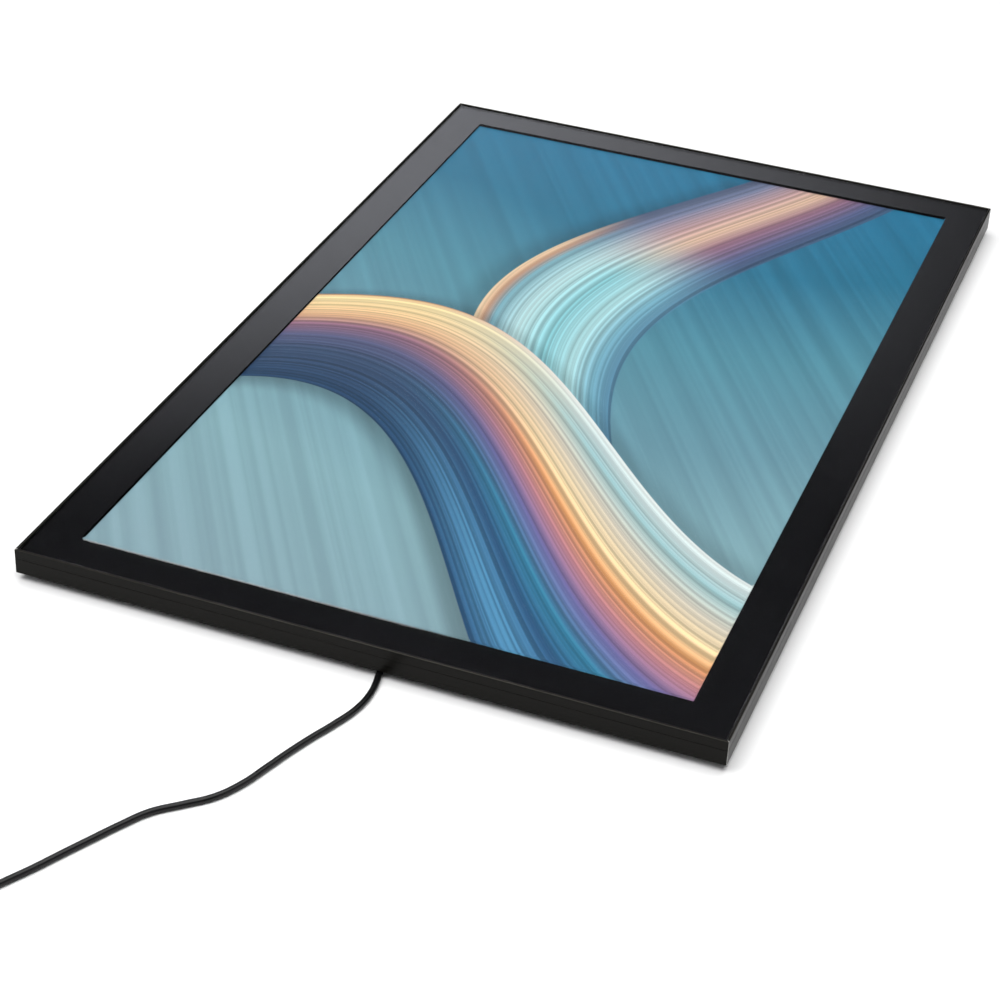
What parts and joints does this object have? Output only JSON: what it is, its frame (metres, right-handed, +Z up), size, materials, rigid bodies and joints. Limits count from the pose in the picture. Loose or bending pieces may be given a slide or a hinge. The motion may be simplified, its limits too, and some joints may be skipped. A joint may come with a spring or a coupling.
{
  "type": "light table",
  "caption": "Slim LED light table: a mitred metal frame with an edge-lit diffuser, a printed film and a lift-off magnetic cover, fed by a thin low-voltage cord.",
  "frame": {"origin": "on the surface that the feet stand on, under the middle of the table", "axes": "+X to the right along the short sides, +Y away from the cord along the long sides, +Z up through the lit face"},
  "size_m": [0.5, 1.127, 0.0245],
  "materials": {
    "frame_aluminium": "black anodised, finely brushed along its length",
    "key_zinc": "zinc plated",
    "back_panel": "dark grey coated composite board, finely textured",
    "foam": "closed-cell foam",
    "reflector": "matt white sheet",
    "light_guide": "clear acrylic with fine dots on its back",
    "diffuser": "opal acrylic",
    "film": "printed translucent film",
    "led_board": "white solder mask with yellow LEDs",
    "magnet": "brown-black magnetic rubber",
    "cover_acrylic": "clear polished acrylic",
    "border_print": "black ink under the cover",
    "strip_steel": "thin bright steel strip",
    "screw_black": "blackened steel",
    "hanger_steel": "zinc plated sheet steel",
    "screw_zinc": "zinc plated",
    "foot_rubber": "matt black rubber",
    "outlet_plastic": "finely textured black plastic",
    "boot_rubber": "soft matt black",
    "lead_sheath": "red and black insulated pair",
    "cord_sheath": "smooth black sheath with a soft shine",
    "tie_fabric": "black hook and loop tape",
    "plug_plastic": "moulded black plastic",
    "plug_metal": "nickel plated"
  },
  "bodies": {
    "base": {"back_panel": "back_panel", "back_screw_01": "screw_black", "back_screw_02": "screw_black", "back_screw_03": "screw_black", "back_screw_04": "screw_black", "back_screw_05": "screw_black", "back_screw_06": "screw_black", "back_screw_07": "screw_black", "back_screw_08": "screw_black", "back_screw_09": "screw_black", "back_screw_10": "screw_black", "backing_foam": "foam", "cord_coil": "cord_sheath", "cord_outlet": "outlet_plastic", "cord_tail": "cord_sheath", "cord_tie": "tie_fabric", "corner_key_far_left": "key_zinc", "corner_key_far_right": "key_zinc", "corner_key_near_left": "key_zinc", "corner_key_near_right": "key_zinc", "diffuser_panel": "diffuser", "frame_profile_far": "frame_aluminium", "frame_profile_left": "frame_aluminium", "frame_profile_near": "frame_aluminium", "frame_profile_right": "frame_aluminium", "hanger_screw_1": "screw_zinc", "hanger_screw_2": "screw_zinc", "hanger_screw_3": "screw_zinc", "hanger_screw_4": "screw_zinc", "keyhole_hanger_left": "hanger_steel", "keyhole_hanger_right": "hanger_steel", "led_lead_left": "lead_sheath", "led_lead_right": "lead_sheath", "led_strip_left": "led_board", "led_strip_right": "led_board", "light_guide_panel": "light_guide", "magnet_strip_far": "magnet", "magnet_strip_left": "magnet", "magnet_strip_near": "magnet", "magnet_strip_right": "magnet", "outlet_boot": "boot_rubber", "plug_barrel": "plug_metal", "plug_body": "plug_plastic", "plug_strain_relief": "boot_rubber", "power_cord": "cord_sheath", "reflector_sheet": "reflector", "rubber_foot_far_left": "foot_rubber", "rubber_foot_far_right": "foot_rubber", "rubber_foot_near_left": "foot_rubber", "rubber_foot_near_right": "foot_rubber"},
    "cover": {"border_print": "border_print", "cover_panel": "cover_acrylic", "steel_strip_far": "strip_steel", "steel_strip_left": "strip_steel", "steel_strip_near": "strip_steel", "steel_strip_right": "strip_steel"},
    "film": {"printed_film": "film"}
  },
  "joints": [
    {"name": "cover_lift", "type": "slide", "parent": "base", "child": "cover", "axis": [0, 0, 1], "range_m": [0, 0.15]},
    {"name": "film_lift", "type": "slide", "parent": "base", "child": "film", "axis": [0, 0, 1], "range_m": [0, 0.075]}
  ],
  "couplings": [
    {"joint": "film_lift", "follows": "cover_lift", "ratio": 0.5}
  ]
}
